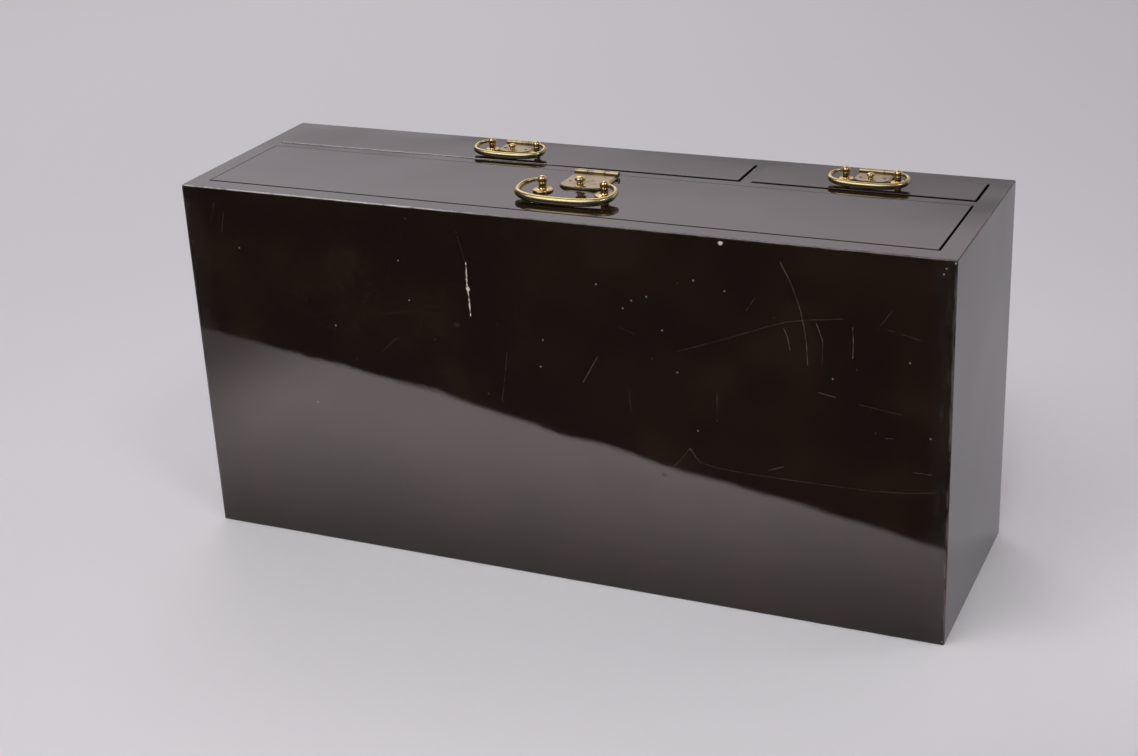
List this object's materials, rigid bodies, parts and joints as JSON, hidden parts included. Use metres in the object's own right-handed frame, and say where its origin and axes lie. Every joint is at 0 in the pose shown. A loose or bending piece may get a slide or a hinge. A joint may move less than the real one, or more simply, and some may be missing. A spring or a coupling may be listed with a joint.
{
  "type": "lacquer writing box",
  "caption": "Rectangular black-brown lacquer writing box with flush drawers, drop bail pulls and small hinged lock covers in brass, lying on its back with the drawer fronts up.",
  "frame": {"origin": "middle of the back board's outer face, on the surface that the box lies on", "axes": "+X along the box's length, +Y from the box's base to its top, +Z from its back up to its drawer fronts"},
  "size_m": [0.45, 0.134, 0.2249],
  "materials": {
    "black_lacquer": "black-brown lacquer on wood, high gloss, scratched and rubbed at the arrises",
    "inner_lacquer": "thin dark lacquer on wood, satin",
    "brass": "cast and sheet brass, rubbed bright on the rounds, tarnished on the flats"
  },
  "bodies": {
    "case": {"case_base": "black_lacquer", "case_top": "black_lacquer", "case_left_end": "black_lacquer", "case_right_end": "black_lacquer", "case_back": "black_lacquer", "case_shelf": "black_lacquer", "case_divider": "black_lacquer"},
    "long_drawer": {"long_drawer_front": "black_lacquer", "long_drawer_bottom": "inner_lacquer", "long_drawer_left_side": "inner_lacquer", "long_drawer_right_side": "inner_lacquer", "long_drawer_back": "inner_lacquer", "long_drawer_left_post": "brass", "long_drawer_right_post": "brass", "long_drawer_lock_plate": "brass"},
    "long_bail": {"long_drawer_bail": "brass"},
    "long_cover": {"long_drawer_lock_cover": "brass", "long_drawer_lock_knob": "brass"},
    "wide_drawer": {"wide_drawer_front": "black_lacquer", "wide_drawer_bottom": "inner_lacquer", "wide_drawer_left_side": "inner_lacquer", "wide_drawer_right_side": "inner_lacquer", "wide_drawer_back": "inner_lacquer", "wide_drawer_left_post": "brass", "wide_drawer_right_post": "brass", "wide_drawer_lock_plate": "brass"},
    "wide_bail": {"wide_drawer_bail": "brass"},
    "wide_cover": {"wide_drawer_lock_cover": "brass", "wide_drawer_lock_knob": "brass"},
    "small_drawer": {"small_drawer_front": "black_lacquer", "small_drawer_bottom": "inner_lacquer", "small_drawer_left_side": "inner_lacquer", "small_drawer_right_side": "inner_lacquer", "small_drawer_back": "inner_lacquer", "small_drawer_left_post": "brass", "small_drawer_right_post": "brass", "small_drawer_lock_plate": "brass"},
    "small_bail": {"small_drawer_bail": "brass"},
    "small_cover": {"small_drawer_lock_cover": "brass", "small_drawer_lock_knob": "brass"}
  },
  "joints": [
    {"name": "long_drawer_slide", "type": "slide", "parent": "case", "child": "long_drawer", "axis": [0, 0, 1], "range_m": [0, 0.16]},
    {"name": "wide_drawer_slide", "type": "slide", "parent": "case", "child": "wide_drawer", "axis": [0, 0, 1], "range_m": [0, 0.16]},
    {"name": "small_drawer_slide", "type": "slide", "parent": "case", "child": "small_drawer", "axis": [0, 0, 1], "range_m": [0, 0.16]},
    {"name": "long_bail_swing", "type": "hinge", "parent": "long_drawer", "child": "long_bail", "pos_m": [0.0015, -0.02063, 0.2224], "axis": [-1, 0, 0], "range_deg": [0, 120]},
    {"name": "wide_bail_swing", "type": "hinge", "parent": "wide_drawer", "child": "wide_bail", "pos_m": [-0.06425, 0.04263, 0.2217], "axis": [-1, 0, 0], "range_deg": [0, 120]},
    {"name": "small_bail_swing", "type": "hinge", "parent": "small_drawer", "child": "small_bail", "pos_m": [0.15175, 0.04263, 0.2217], "axis": [-1, 0, 0], "range_deg": [0, 120]},
    {"name": "long_cover_lift", "type": "hinge", "parent": "long_drawer", "child": "long_cover", "pos_m": [0.0015, 0.01238, 0.2179], "axis": [-1, 0, 0], "range_deg": [0, 90]},
    {"name": "wide_cover_lift", "type": "hinge", "parent": "wide_drawer", "child": "wide_cover", "pos_m": [-0.06425, 0.05412, 0.2183], "axis": [-1, 0, 0], "range_deg": [0, 90]},
    {"name": "small_cover_lift", "type": "hinge", "parent": "small_drawer", "child": "small_cover", "pos_m": [0.15175, 0.05412, 0.2183], "axis": [-1, 0, 0], "range_deg": [0, 90]}
  ]
}
